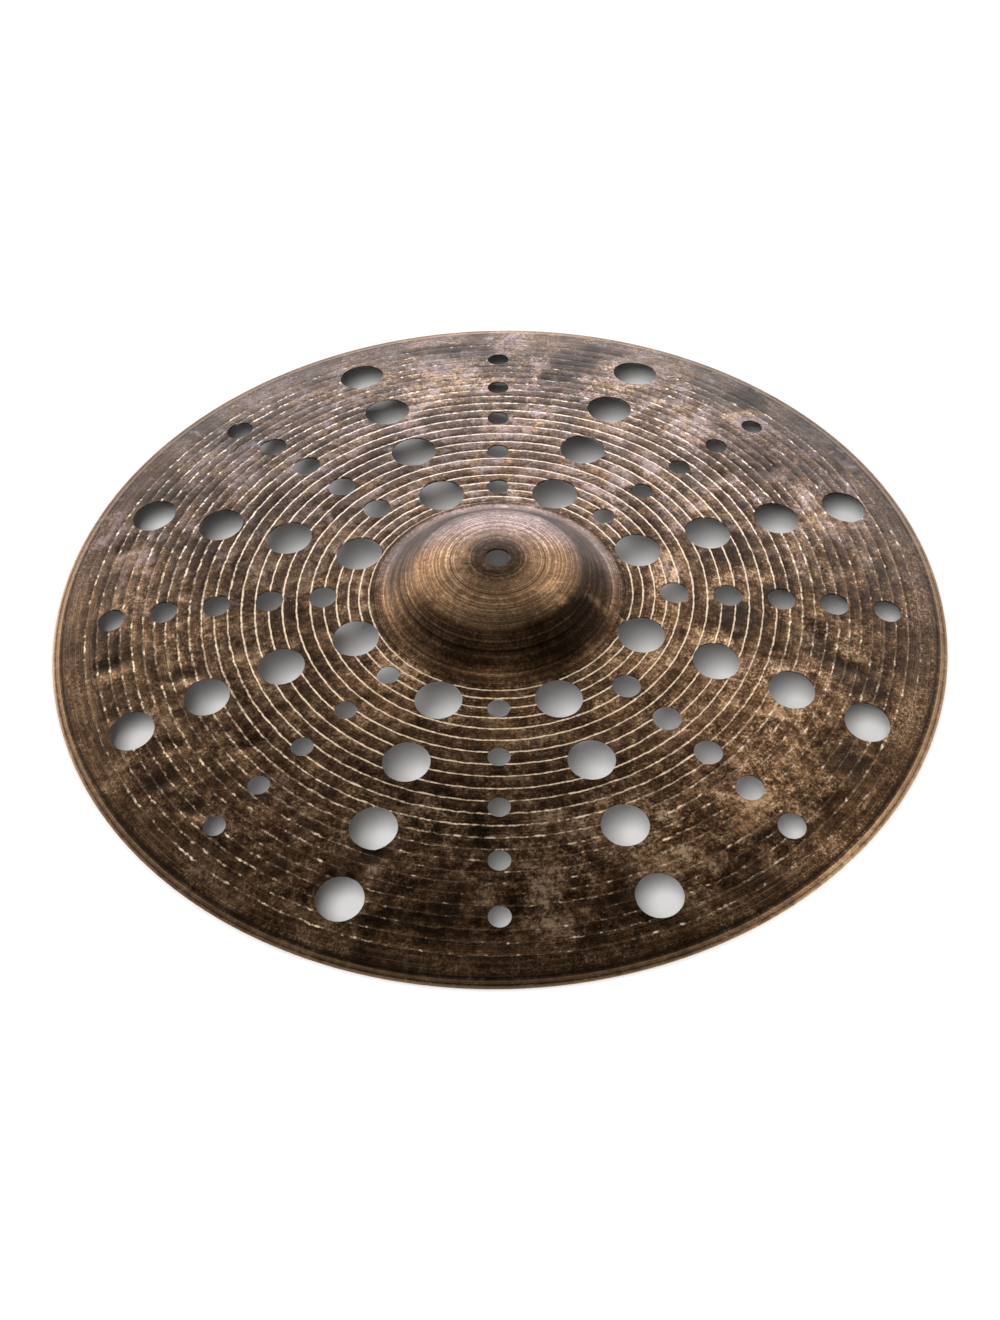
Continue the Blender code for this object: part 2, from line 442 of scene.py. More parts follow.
def drill(cutters, radius, angle, diameter, sides):
    """One drill, square to the bow, flared at both faces so that the hole's edges are slightly worn."""
    bore = diameter / 2
    wear = HOLE_EDGE_WEAR
    lean = math.atan(bow_slope(radius))
    wall = float(wall_drop(radius)) * math.cos(lean)
    outline = [
        (bore + wear + DRILL_MARGIN, DRILL_MARGIN), (bore + wear, 0.0), (bore, -wear),
        (bore, wear - wall), (bore + wear, -wall), (bore + wear + DRILL_MARGIN, -wall - DRILL_MARGIN),
    ]
    middle = Matrix.Translation((radius, 0, float(bow_height(radius))))
    place = Matrix.Rotation(angle, 4, "Z") @ middle @ Matrix.Rotation(lean, 4, "Y")
    rings = []
    for ring_radius, height in outline:
        ring = []
        for side in range(sides):
            turn = TAU * side / sides
            point = place @ Vector((ring_radius * math.cos(turn), ring_radius * math.sin(turn), height))
            ring.append(cutters.verts.new(point * MM))
        rings.append(ring)
    for upper, lower in zip(rings, rings[1:]):
        for side in range(sides):
            following = (side + 1) % sides
            cutters.faces.new((upper[side], lower[side], lower[following], upper[following]))
    cutters.faces.new(rings[0])
    cutters.faces.new(rings[-1][::-1])


def drills():
    """All drills: rays of large holes between rays of small or medium ones."""
    cutters = bmesh.new()
    for ray in range(RAYS):
        angle = ray * TAU / RAYS
        for radius in LARGE_RADII:
            drill(cutters, radius, angle + TAU / RAYS / 2, LARGE_HOLE, LARGE_SIDES)
        small = ray in SMALL_RAYS
        for radius in SMALL_RADII if small else MEDIUM_RADII:
            drill(cutters, radius, angle, SMALL_HOLE if small else MEDIUM_HOLE, FINE_SIDES)
    bmesh.ops.recalc_face_normals(cutters, faces=cutters.faces)
    for face in cutters.faces:
        face.material_index = 1
    mesh = bpy.data.meshes.new("hole_drills")
    cutters.to_mesh(mesh)
    cutters.free()
    return bpy.data.objects.new("hole_drills", mesh)


def drilled(plate, cutter):
    """Cuts the holes and keeps the result as the plate's own mesh."""
    bpy.context.scene.collection.objects.link(cutter)
    cut = plate.modifiers.new("drilling", "BOOLEAN")
    cut.operation = "DIFFERENCE"
    cut.solver = "MANIFOLD"
    cut.object = cutter
    bpy.context.view_layer.update()
    evaluated = plate.evaluated_get(bpy.context.evaluated_depsgraph_get())
    mesh = bpy.data.meshes.new_from_object(evaluated)
    mesh.name = plate.name
    plate.modifiers.clear()
    plate.data = mesh
    bpy.data.objects.remove(cutter, do_unlink=True)
    mesh.shade_smooth()
    mesh.set_sharp_from_angle(angle=SHARP_ANGLE)
    return plate


# ---- patina patches and patches of painted light, one by one: (x, y, length, width, direction in degrees, strength) ---
GOLD_PATCHES = [
    (122, -134, 26, 13, 55, 1.0),
    (96, -150, 14, 8, 20, 0.7),
    (24, -167, 12, 9, -30, 0.95),
    (12, -180, 12, 8, 0, 0.5),
    (137, -72, 18, 10, 60, 0.8),
    (126, -54, 14, 8, 30, 0.6),
    (151, -16, 22, 8, -62, 0.8),
    (140, 56, 16, 13, 0, 0.6),
    (118, 10, 14, 8, 60, 0.5),
    (80, 4, 12, 9, 0, 0.35),
    (190, -36, 14, 9, -20, 0.5),
    (206, -62, 12, 8, 60, 0.5),
    (150, -92, 16, 8, 30, 0.5),
    (-50, -51, 24, 9, -40, 0.8),
    (-25, -85, 10, 8, -45, 0.6),
    (-46, -135, 26, 11, -20, 0.7),
    (-100, -80, 18, 10, 10, 0.6),
    (-135, -88, 14, 10, 0, 0.7),
    (-165, -120, 11, 8, 0, 0.6),
    (-186, -100, 22, 9, 60, 0.6),
    (-100, -180, 13, 9, 0, 0.75),
    (-160, -25, 18, 14, 0, 0.45),
    (-190, -42, 12, 7, 0, 0.6),
    (-120, -136, 12, 6, 0, 0.5),
    (82, -134, 14, 8, 30, 0.5),
    (56, -200, 12, 6, 0, 0.45),
    (-46, 155, 16, 10, 60, 0.35),
    (122, 188, 15, 8, -40, 0.4),
    (132, 130, 22, 16, 0, 0.4),
    (180, 20, 17, 12, 0, 0.4),
    (-116, -1, 14, 5, 0, 0.6),
    (-140, -1, 10, 5, 0, 0.4),
    (52, -56, 12, 8, 40, 0.4),
    (25, -17, 7, 3, 40, 1.5),
    (31, -23, 4, 3, 0, 1.3),
    (50, -16, 6, 4, -20, 1.0),
]
# Dark stains; those that sit on the deep hammer marks are painted shade in the dents.
DARK_PATCHES = [
    (-32, 207, 28, 6, 5, 0.9),
    (-76, 190, 16, 9, 20, 0.5),
    (25, 209, 10, 7, 0, 0.45),
    (60, 205, 16, 6, -10, 0.9),
    (36, 180, 20, 12, 45, 1.0),
    (31, 160, 9, 8, 0, 0.5),
    (136, 165, 14, 12, -45, 0.95),
    (180, 120, 30, 12, -55, 0.5),
    (-100, 185, 20, 8, 35, 0.45),
    (145, 97, 12, 8, 60, 0.55),
    (76, 66, 12, 8, 0, 0.5),
    (122, -16, 14, 12, 60, 1.1),
    (140, 5, 11, 7, 0, 1.0),
    (166, 0, 7, 4, 0, 0.45),
    (178, -48, 17, 8, -35, 1.15),
    (158, -30, 15, 6, -50, 1.1),
    (171, -98, 17, 12, 20, 0.8),
    (135, -144, 14, 6, 10, 1.0),
    (124, -172, 24, 12, 10, 0.6),
    (56, -186, 14, 7, 10, 0.7),
    (-25, -192, 9, 6, 0, 0.75),
    (-60, -160, 11, 8, 0, 0.9),
    (-86, -128, 11, 7, 0, 0.75),
    (-30, -127, 8, 5, 0, 0.45),
    (-105, -163, 11, 7, 0, 0.85),
    (-122, -120, 10, 5, 10, 1.0),
    (-165, -107, 11, 6, -10, 0.9),
    (-148, -126, 12, 6, -15, 0.6),
    (-94, -60, 9, 6, 0, 0.5),
    (-155, -45, 11, 5, 0, 0.6),
    (-196, -31, 9, 5, 0, 0.5),
    (-66, -16, 8, 16, 0, 0.45),
    (-165, 128, 13, 7, 20, 0.4),
    (-195, 50, 11, 6, 0, 0.4),
    (-105, 103, 9, 6, 0, 0.35),
    (-145, 10, 7, 5, 0, 0.45),
    (-105, 9, 11, 4, 0, 0.5),
    (-70, 67, 11, 5, 10, 0.4),
    (70, -112, 12, 7, 0, 0.5),
    (-175, -150, 30, 8, -45, 0.6),
    (-60, -214, 40, 7, -12, 0.6),
    (60, -215, 40, 7, 12, 0.5),
    (45, -27, 9, 11, -30, 1.35),
    (36, -40, 12, 6, 45, 1.1),
    (50, 2, 6, 12, 0, 0.6),
    (2, -64, 8, 3, 60, 0.5),
]
# Broad areas made brighter (positive) or darker (negative), in doublings of brightness: partly thinner or
# thicker patina, partly painted light and shade, such as the painted shadow at the front of the bell's foot,
# painted shade on the bell's flanks and painted highlights on its left front.
BROAD_PATINA_AND_PAINTED_LIGHT = [
    (112, -112, 85, 60, 45, 0.85),
    (0, -82, 60, 20, 0, 0.6),
    (70, -40, 30, 30, 0, 0.45),
    (-60, -60, 40, 24, -45, 0.7),
    (-120, -100, 70, 45, -45, 0.3),
    (-128, -120, 62, 30, -45, 0.4),
    (-62, -48, 24, 22, -45, 0.25),
    (84, 0, 14, 26, 0, 0.45),
    (128, 0, 16, 34, 0, 0.25),
    (0, 80, 60, 12, 0, 0.2),
    (-150, -30, 22, 50, 0, 0.3),
    (-60, -72, 30, 16, -45, 0.2),
    (-20, 36, 34, 8, 15, -0.35),
    (0, 11, 16, 6, 0, -0.3),
    (34, 26, 18, 10, -45, -0.2),
    (30, 0, 10, 14, 0, -0.2),
    (145, 148, 60, 22, -45, -0.35),
    (-128, 130, 62, 36, 45, -0.35),
    (-186, 70, 40, 20, 60, -0.2),
    (0, 186, 90, 24, 0, -0.2),
    (0, 30, 22, 9, 0, 0.3),
    (-30, 0, 8, 14, 0, 0.3),
    (110, 20, 50, 60, 0, 0.15),
    (-78, 0, 20, 50, 0, 0.4),
    (56, 56, 30, 18, -45, 0.4),
    (-115, 110, 90, 60, 45, -0.5),
    (0, 207, 130, 24, 0, -0.45),
    (-150, 140, 70, 30, 45, -0.35),
    (150, 140, 70, 30, -45, -0.6),
    (-95, 80, 60, 50, 45, -0.2),
    (95, 80, 60, 50, -45, -0.25),
    (0, 130, 50, 50, 0, -0.15),
    (0, -150, 70, 80, 0, -0.55),
    (200, 0, 40, 75, 0, -0.65),
    (-212, -10, 16, 60, 0, -0.25),
    (0, -48, 32, 12, 0, -1.6),
    (0, -61, 34, 5, 0, 0.45),
    (-32, -4, 14, 22, 0, 0.65),
    (-29, -27, 15, 9, -45, 0.95),
    (-54, 0, 9, 24, 0, -0.5),
    (30, -4, 9, 20, 0, 0.35),
    (41, 2, 5, 18, 0, -0.75),
    (62, 0, 12, 34, 0, -0.65),
    (0, 27, 42, 12, 0, -0.4),
    (6, -28, 26, 9, 0, 0.35),
    (-36, -50, 14, 9, -45, 0.4),
    (40, -40, 16, 12, 45, 0.35),
]
# Where the patina varies more in broad patches, and where its grain is coarser.
UNEVEN = [
    (40, -190, 170, 75, 0, 0.35),
    (0, 190, 150, 55, 0, 0.5),
    (170, 0, 80, 120, 0, 0.3),
    (0, -85, 80, 28, 0, -0.35),
]
GRIT = [
    (170, -30, 110, 140, 0, 0.2),
    (-120, -80, 100, 110, 0, -0.2),
    (0, 190, 180, 60, 0, 0.7),
]
# Where the lathe line is worn or covered.
LINE_FADES = [
    (0, -128, 85, 34, 0, 0.45),
    (40, 195, 110, 34, 0, 0.8),
    (0, 110, 160, 70, 0, 0.28),
    (150, 125, 65, 38, -50, 0.65),
    (190, 5, 36, 80, 0, 0.6),
    (125, -20, 60, 90, 0, 0.35),
    (135, -125, 60, 32, 45, 0.5),
    (-150, 160, 60, 22, 45, 0.3),
    (0, -185, 90, 38, 0, 0.62),
    (-200, 0, 24, 80, 0, 0.3),
    (122, -16, 16, 12, 60, 0.5),
]
# How fast a patch fades outwards, how strongly the painted highlight on a deep mark's lip and the painted
# shade in its hollow show, and how strongly the grit at the edge shows.
PATCH_FALLOFF = 0.9
PAINTED_LIP_HIGHLIGHT = 1.9
PAINTED_HOLLOW_SHADE = 2.5
EDGE_GRIT = 0.2

# ---- tones of painted light and shade by distance and by angle, in doublings of brightness -------
# Against the distance from the axis: a bare crown brightened by painted light, a flank darkened by painted
# shade, a paler foot and a bow that darkens outwards.
RING_PAINTED_LIGHT_AND_SHADE = [
    (13, 0.5), (22, 0.65), (34, 0.45), (38, 0.1), (41, -0.3), (46, -0.4), (52, -0.45),
    (57, -0.1), (64, 0.3), (84, 0.3), (96, 0.0), (160, -0.1), (188, -0.2), (204, -0.4),
]
# Painted light and shade on the plain outer band and the rim, against the angle in degrees from the
# right-hand side; the rim's painted highlight is strongest at 315.
EDGE_BAND_PAINTED_LIGHT = [
    (0, -0.8), (45, -0.8), (90, 0.2), (135, -0.4), (180, 0.05),
    (225, 0.35), (270, -0.7), (315, 1.0), (360, -0.8),
]
RIM_PAINTED_LIGHT = [
    (0, 0.8), (45, 0.6), (90, 0.95), (135, 0.5), (180, 0.5),
    (225, 0.85), (270, 0.0), (315, 1.75), (360, 0.8),
]


def patch_shape(patch, x, y):
    """1 in the middle of an oval patch, fading outwards."""
    patch_x, patch_y, length, width, direction, _ = patch
    turn = math.radians(direction)
    along = ((x - patch_x) * math.cos(turn) + (y - patch_y) * math.sin(turn)) / length
    across = ((y - patch_y) * math.cos(turn) - (x - patch_x) * math.sin(turn)) / width
    return np.exp(-PATCH_FALLOFF * (along ** 2 + across ** 2))


def strongest(patches, x, y):
    return np.max([patch[-1] * patch_shape(patch, x, y) for patch in patches], axis=0)


def total(patches, x, y):
    return sum(patch[-1] * patch_shape(patch, x, y) for patch in patches)


def tone_at(table, value):
    return np.interp(value, *zip(*table))


# Painted light and shade of the outer band and the rim, which change with the angle round the plate.
def painted_edge_light(x, y):
    angle = np.degrees(np.arctan2(y, x)) % 360
    radius = np.hypot(x, y)
    band = tone_at(EDGE_BAND_PAINTED_LIGHT, angle) * rise(radius, 204, 14)
    return band + tone_at(RIM_PAINTED_LIGHT, angle) * rise(radius, 224.2, 0.8)


def painted_dent_shading(x, y):
    """Painted shade in the far side of each deep hammer mark and a painted highlight on its near lip."""
    tone = np.zeros_like(x)
    for mark_x, mark_y, length, width, turn, strength in DEEP_MARKS:
        hollow = patch_shape((mark_x, mark_y + 0.25 * width, 0.75 * length, 0.5 * width, turn, 0), x, y)
        lip = patch_shape((mark_x, mark_y - 0.75 * width, 0.8 * length, 0.4 * width, turn, 0), x, y)
        tone += strength * (PAINTED_LIP_HIGHLIGHT * lip - PAINTED_HOLLOW_SHADE * hollow)
    return tone


def store(mesh, name, values):
    attribute = mesh.attributes.new(name, "FLOAT", "POINT")
    attribute.data.foreach_set("value", np.asarray(values, np.float32))


def surface_values(mesh):
    """Values the bronze needs at every point: lathe turns and pitch, the patina patches, and a tone that
    also carries painted light and shade.
    """
    places = np.empty(len(mesh.vertices) * 3)
    mesh.vertices.foreach_get("co", places)
    x, y, _ = places.reshape(-1, 3).T / MM
    radius = np.hypot(x, y)
    # The tone sums broad patina differences with painted light and shade: the bell's painted shading,
    # painted light round the edge, and painted shade and highlight in the deep marks.
    tone = total(BROAD_PATINA_AND_PAINTED_LIGHT, x, y) + tone_at(RING_PAINTED_LIGHT_AND_SHADE, radius) + painted_edge_light(x, y) + painted_dent_shading(x, y)
    store(mesh, "lathe_turns", np.interp(radius, SPIRAL_RADII, SPIRAL_COUNT))
    store(mesh, "lathe_pitch", pitch_at(radius))
    store(mesh, "gold", strongest(GOLD_PATCHES, x, y))
    store(mesh, "dark", strongest(DARK_PATCHES, x, y))
    store(mesh, "tone", tone)
    store(mesh, "line_fade", strongest(LINE_FADES, x, y))
    store(mesh, "uneven", 1.0 + total(UNEVEN, x, y))
    store(mesh, "grit", 1.0 + total(GRIT, x, y) + EDGE_GRIT * rise(radius, 211, 4))


# ---- node helpers --------------------------------------------------------------------------------
class Recipe:
    """A material under construction; its patterns lie in object space, measured in millimetres."""

    def __init__(self, name):
        self.material = bpy.data.materials.new(name)
        self.material.use_nodes = True
        self.tree = self.material.node_tree
        self.shader = self.tree.nodes["Principled BSDF"]
        self.place = self.scaled(self.node("ShaderNodeTexCoord", {}).outputs["Object"], 1 / MM)

    def feed(self, socket, value):
        if isinstance(value, bpy.types.NodeSocket):
            self.tree.links.new(value, socket)
        else:
            socket.default_value = value

    def set(self, name, value):
        """Sets or links one input of the shader."""
        self.feed(self.shader.inputs[name], value)

    def node(self, kind, inputs, **settings):
        made = self.tree.nodes.new(kind)
        for name, value in settings.items():
            setattr(made, name, value)
        for key, value in inputs.items():
            self.feed(made.inputs[key], value)
        return made

    def math(self, operation, *values):
        return self.node("ShaderNodeMath", dict(enumerate(values)), operation=operation).outputs[0]

    def times(self, first, second):
        return self.math("MULTIPLY", first, second)

    def plus(self, base, value, amount):
        """base + amount * value."""
        return self.math("MULTIPLY_ADD", value, amount, base)

    def sway(self, base, noise, amount):
        """base + amount * (noise - 0.5), which leaves the average of the base as it is."""
        return self.plus(base, self.math("SUBTRACT", noise, 0.5), amount)

    def most(self, first, *others):
        for other in others:
            first = self.math("MAXIMUM", first, other)
        return first

    def scaled(self, vector, factor):
        inputs = {0: vector, "Scale": factor}
        return self.node("ShaderNodeVectorMath", inputs, operation="SCALE").outputs["Vector"]

    def span(self, value, low, high, to_low=0.0, to_high=1.0):
        """Smooth step from low to high."""
        inputs = {"Value": value, "From Min": low, "From Max": high, "To Min": to_low, "To Max": to_high}
        made = self.node("ShaderNodeMapRange", inputs, interpolation_type="SMOOTHSTEP", clamp=True)
        return made.outputs["Result"]

    def noise(self, size, detail=2.0, roughness=0.5, distortion=0.0):
        """Noise whose features are about size millimetres across."""
        inputs = {"Vector": self.place, "Scale": 1.0 / size, "Detail": detail, "Roughness": roughness}
        inputs["Distortion"] = distortion
        return self.node("ShaderNodeTexNoise", inputs, noise_dimensions="3D").outputs[0]

    def mix(self, factor, first, second):
        """Mix of two colours, which are inputs 6 and 7 of the node."""
        inputs = {0: factor, 6: first, 7: second}
        return self.node("ShaderNodeMix", inputs, data_type="RGBA", clamp_factor=True).outputs[2]

    def blend(self, factor, first, second):
        """Mix of two numbers, which are inputs 2 and 3 of the node."""
        inputs = {0: factor, 2: first, 3: second}
        return self.node("ShaderNodeMix", inputs, data_type="FLOAT", clamp_factor=True).outputs[0]

    def ramp(self, value, stops):
        made = self.node("ShaderNodeValToRGB", {0: value})
        elements = made.color_ramp.elements
        while len(elements) < len(stops):
            elements.new(0.5)
        for element, (position, colour) in zip(elements, stops):
            element.position = position
            element.color = (*colour, 1)
        return made.outputs["Color"]

    def attribute(self, name):
        return self.node("ShaderNodeAttribute", {}, attribute_name=name).outputs["Fac"]

    def bump(self, height, distance):
        inputs = {"Height": height, "Distance": distance, "Strength": BUMP_STRENGTH}
        self.set("Normal", self.node("ShaderNodeBump", inputs).outputs[0])


# ---- colours of the bronze -----------------------------------------------------------------------
PATINA = [
    (0.10, (0.0182, 0.0088, 0.0041)),
    (0.38, (0.0535, 0.0280, 0.0132)),
    (0.55, (0.1045, 0.0565, 0.0280)),
    (0.72, (0.2020, 0.1210, 0.0640)),
    (0.95, (0.4350, 0.3020, 0.1900)),
]
# Grey-violet oxide; laid mostly towards the back, where it is a painted sheen.
OXIDE_AND_SHEEN = [
    (0.20, (0.038, 0.0246, 0.0180)),
    (0.50, (0.111, 0.0765, 0.0668)),
    (0.80, (0.262, 0.199, 0.208)),
]
# The bell's tan crown, laid strongest on its front as a painted highlight.
CROWN_TAN_AND_HIGHLIGHT = [
    (0.30, (0.10, 0.058, 0.031)),
    (0.60, (0.20, 0.122, 0.068)),
    (0.85, (0.40, 0.255, 0.15)),
]
CUT_WALL = [
    (0.35, (0.012, 0.009, 0.007)),
    (0.58, (0.035, 0.024, 0.017)),
    (0.78, (0.14, 0.09, 0.055)),
]
PAPER = [(0.3, (0.815, 0.815, 0.815)), (0.7, (0.825, 0.825, 0.825))]
# Pale haze; mostly towards the back, where it is a painted sheen.
PALE_HAZE_AND_SHEEN = (0.40, 0.335, 0.358, 1)
# Dark stain colour, also used for painted shade in the dents.
STAIN_AND_DENT_SHADE = (0.017, 0.0105, 0.0075, 1)
GOLD = (0.40, 0.242, 0.128, 1)
# Colour of the dirt, and of the painted shade in the rim groove.
DIRT_AND_GROOVE_SHADE = (0.02, 0.013, 0.009, 1)
RIM_BROWN = (0.03, 0.019, 0.012, 1)
BARE_RIM = (0.262, 0.167, 0.096, 1)
LINE_SHADOW = (0.03, 0.02, 0.014, 1)
WORN_LINE = (0.34, 0.215, 0.125, 1)
BRIGHT_LINE = (1.0, 0.81, 0.58, 1)
# The line's colour at the back, paler as a painted reflection of the cool back light.
BRIGHT_LINE_BACK = (1.0, 0.86, 0.73, 1)
BUMP_STRENGTH = 0.8
MIDDLE_TONE = 0.485
# Distances from the axis over which something fades in or out.
BELL_END = (66.0, 60.0)
SEAT_DIRT = (15.0, 12.0)
CROWN_START = (13.0, 20.0)
CROWN_END = (45.0, 38.0)
LINES_START = (64.5, 66.0)
LINES_BREAK = (108.0, 180.0)
LINES_END = (216.5, 213.0)
CALM_BAND = (200.0, 214.0)
TURNED_START = (204.0, 216.0)
TURNED_END = (222.0, 221.0)
RIM_START = (224.0, 224.8)
# Turned rings, as (radius, half width, strength).
BELL_DIRT_RINGS = [(43.0, 2.6, 0.3), (24.0, 0.7, 0.3), (36.2, 0.6, 0.3)]
RIM_METAL_RINGS = [(226.3, 0.8, 0.45), (225.4, 0.9, 0.8), (228.3, 1.2, 1.0)]
# Half width of the painted shade in the rim groove.
RIM_GROOVE_SHADE_WIDTH = 1.7


# ---- materials -----------------------------------------------------------------------------------
class Bronze(Recipe):
    """The plate's patinated bronze; what several layers share is made first."""

    def __init__(self):
        super().__init__("patinated_bronze_lathed")
        parts = self.node("ShaderNodeSeparateXYZ", {0: self.place}).outputs
        flat = self.node("ShaderNodeCombineXYZ", {0: parts[0], 1: parts[1]}).outputs[0]
        self.y = parts[1]
        self.radius = self.node("ShaderNodeVectorMath", {0: flat}, operation="LENGTH").outputs["Value"]
        self.angle = self.math("DIVIDE", self.math("ARCTAN2", parts[1], parts[0]), TAU)
        self.cloud = self.noise(26.0, detail=7.0, roughness=0.62, distortion=0.4)
        self.mottle = self.noise(5.5, detail=7.0, roughness=0.77, distortion=0.3)
        self.speck = self.noise(1.5, roughness=0.6)
        self.bands = self.turned(1.9, detail=3.0, roughness=0.65)
        self.on_bell = self.zone(BELL_END)
        # Towards the back: there the colour carries a painted sheen, the lathe line is paler and the rim
        # groove's painted shade is fainter.
        self.back = self.span(self.plus(self.y, self.cloud, 80.0), 20.0, 150.0)
        self.gold = self.bare_gold()
        self.dark = self.stains_and_dent_shade()
        self.tone = self.patina_tone()
        self.bright, self.shadow, self.worn = self.lathe_lines()

    def turned(self, size, detail=2.0, roughness=0.5):
        """Noise that changes only with the distance from the axis, like the marks of a lathe tool."""
        inputs = {"W": self.radius, "Scale": 1.0 / size, "Detail": detail, "Roughness": roughness}
        return self.node("ShaderNodeTexNoise", inputs, noise_dimensions="1D").outputs[0]

    def zone(self, fade, inside=1.0):
        """The inside value past a fade, 0 before it."""
        return self.span(self.radius, *fade, 0.0, inside)

    def ring(self, centre, half_width, strength=1.0):
        """The strength on a circle round the axis, fading to 0 at the half width."""
        distance = self.math("ABSOLUTE", self.math("SUBTRACT", self.radius, centre))
        return self.span(distance, half_width, 0.0, 0.0, strength)

    def bare_gold(self):
        """Where rubbed metal shows, crumbled at its edges."""
        gold = self.sway(self.attribute("gold"), self.mottle, 1.6)
        return self.span(self.sway(gold, self.speck, 1.2), 0.3, 1.1)

    # Dark stains, with painted shade where they sit in the deep dents.
    def stains_and_dent_shade(self):
        warp = self.noise(6.0, detail=4.0, roughness=0.65)
        return self.span(self.sway(self.attribute("dark"), warp, 1.3), 0.32, 0.70)

    def specks(self):
        """Fine grain with crisp flecks and pits."""
        specks = self.sway(0.0, self.speck, 0.9)
        specks = self.sway(specks, self.noise(0.7, detail=1.0), 0.55)
        chips = self.noise(3.2, detail=4.0, roughness=0.7, distortion=0.5)
        flecks = self.math("SUBTRACT", self.span(chips, 0.585, 0.63), self.span(chips, 0.415, 0.37))
        return self.plus(specks, flecks, 0.13)

    def rough_skin(self):
        """How strongly the specks show."""
        skin = self.span(self.noise(17.0, detail=3.0), 0.35, 0.62, 0.6, 1.2)
        return self.times(self.blend(self.on_bell, skin, 0.7), self.attribute("grit"))

    def patina_tone(self):
        """How thin the patina is, from 0 for black to 1 for pale metal."""
        broad = self.sway(0.0, self.cloud, 1.45)
        broad = self.sway(broad, self.mottle, 1.35)
        stains = self.noise(12.0, detail=8.0, roughness=0.76, distortion=0.7)
        broad = self.plus(broad, self.span(stains, 0.51, 0.62), -0.14)
        broad = self.plus(broad, self.span(stains, 0.45, 0.34), 0.13)
        tone = self.plus(MIDDLE_TONE, broad, self.attribute("uneven"))
        calm = self.sway(self.bands, self.cloud, 0.4)
        tone = self.blend(self.times(self.on_bell, 0.7), tone, calm)
        tone = self.blend(self.zone(CALM_BAND, 0.45), tone, calm)
        tone = self.sway(tone, self.turned(0.9, roughness=0.6), self.blend(self.on_bell, 0.34, 0.62))
        tone = self.plus(tone, self.specks(), self.rough_skin())
        tone = self.plus(tone, self.gold, 0.17)
        return self.plus(tone, self.dark, -0.12)

    def lathe_lines(self):
        """Bright, shadowed and worn parts of the lathe line: even near the bell, broken dashes outwards."""
        outward = self.zone(LINES_BREAK)
        turns = self.math("SUBTRACT", self.attribute("lathe_turns"), self.angle)
        off = self.math("SUBTRACT", turns, self.math("ROUND", turns))
        off = self.times(off, self.attribute("lathe_pitch"))
        off = self.sway(off, self.noise(6.0, detail=1.0), self.blend(outward, 0.8, 1.5))
        off = self.math("ABSOLUTE", off)
        weight = self.noise(1.9)
        fade = self.attribute("line_fade")
        least = self.blend(outward, 0.7, 0.35)
        half_width = self.span(weight, 0.28, 0.72, least, self.blend(outward, 1.3, 1.7))
        half_width = self.times(self.blend(outward, 0.55, 0.62), half_width)
        half_width = self.times(half_width, self.plus(1.0, fade, -0.35))
        line = self.span(self.math("DIVIDE", off, half_width), 1.0, 0.4)
        line = self.times(line, self.times(self.zone(LINES_START), self.zone(LINES_END)))

        needed = self.plus(self.blend(outward, 0.25, 0.515), fade, 0.13)
        breaks = self.math("SUBTRACT", self.noise(4.2, detail=3.0, roughness=0.65), needed)
        bright = self.most(self.span(breaks, -0.05, 0.09), self.blend(outward, 0.3, 0.05))
        bright = self.times(bright, line)
        patchy = self.span(self.noise(11.0, detail=3.0), 0.4, 0.6, 0.25, 1.0)
        bright = self.times(bright, self.blend(outward, 1.0, patchy))
        bright = self.times(bright, self.span(weight, 0.3, 0.6, least, 1.0))
        bright = self.times(bright, self.plus(1.0, fade, -0.42))

        worn = self.times(line, self.span(self.noise(9.0, detail=4.0), 0.35, 0.6, 0.15, 0.8))
        worn = self.times(worn, self.plus(self.blend(outward, 1.0, 0.75), fade, -0.7))
        shadow = self.times(line, self.blend(outward, 1.0, 0.5))
        return bright, shadow, worn

    def patina_colour(self):
        """Brown patina with some grey-violet oxide and pale haze; towards the back both grow into a painted
        sheen, a painted reflection of the cool back light, and the back of the bell gets the same painted
        sheen.
        """
        oxide_and_back_sheen = self.span(self.noise(13.0, detail=5.0, roughness=0.7), 0.42, 0.62)
        oxide_and_back_sheen = self.times(oxide_and_back_sheen, self.blend(self.back, 0.07, 0.8))
        # The back of the bell takes the same painted sheen.
        bell_back_sheen = self.times(self.on_bell, self.span(self.y, -5.0, 30.0, 0.0, 0.9))
        oxide_and_back_sheen = self.most(oxide_and_back_sheen, bell_back_sheen)
        colour = self.mix(oxide_and_back_sheen, self.ramp(self.tone, PATINA), self.ramp(self.tone, OXIDE_AND_SHEEN))
        haze_and_sheen = self.span(self.noise(19.0, detail=8.0, roughness=0.75, distortion=1.4), 0.55, 0.70)
        return self.mix(self.times(haze_and_sheen, self.blend(self.back, 0.03, 0.72)), colour, PALE_HAZE_AND_SHEEN)

    def stains_and_painted_light(self, colour):
        """Adds the tan crown of the bell, strongest on its front half as a painted highlight, the dark
        stains, with painted shade where they sit in deep dents, and the rubbed gold.
        """
        crown = self.times(self.zone(CROWN_START), self.zone(CROWN_END))
        # Strongest towards the front: a painted highlight on the crown.
        crown = self.times(crown, self.span(self.y, 24.0, -12.0, 0.05, 0.88))
        colour = self.mix(crown, colour, self.ramp(self.tone, CROWN_TAN_AND_HIGHLIGHT))
        colour = self.mix(self.times(self.dark, 0.55), colour, STAIN_AND_DENT_SHADE)
        return self.mix(self.times(self.gold, 0.3), colour, GOLD)

    def dirty_and_shaded(self, colour):
        """Adds dirt round the mounting hole and in the turned grooves of the bell, and painted shade in the
        rim groove, strong at the front and faint at the back.
        """
        dirt = self.most(*[self.ring(*ring) for ring in BELL_DIRT_RINGS])
        dirt = self.most(dirt, self.zone(SEAT_DIRT, 0.58))
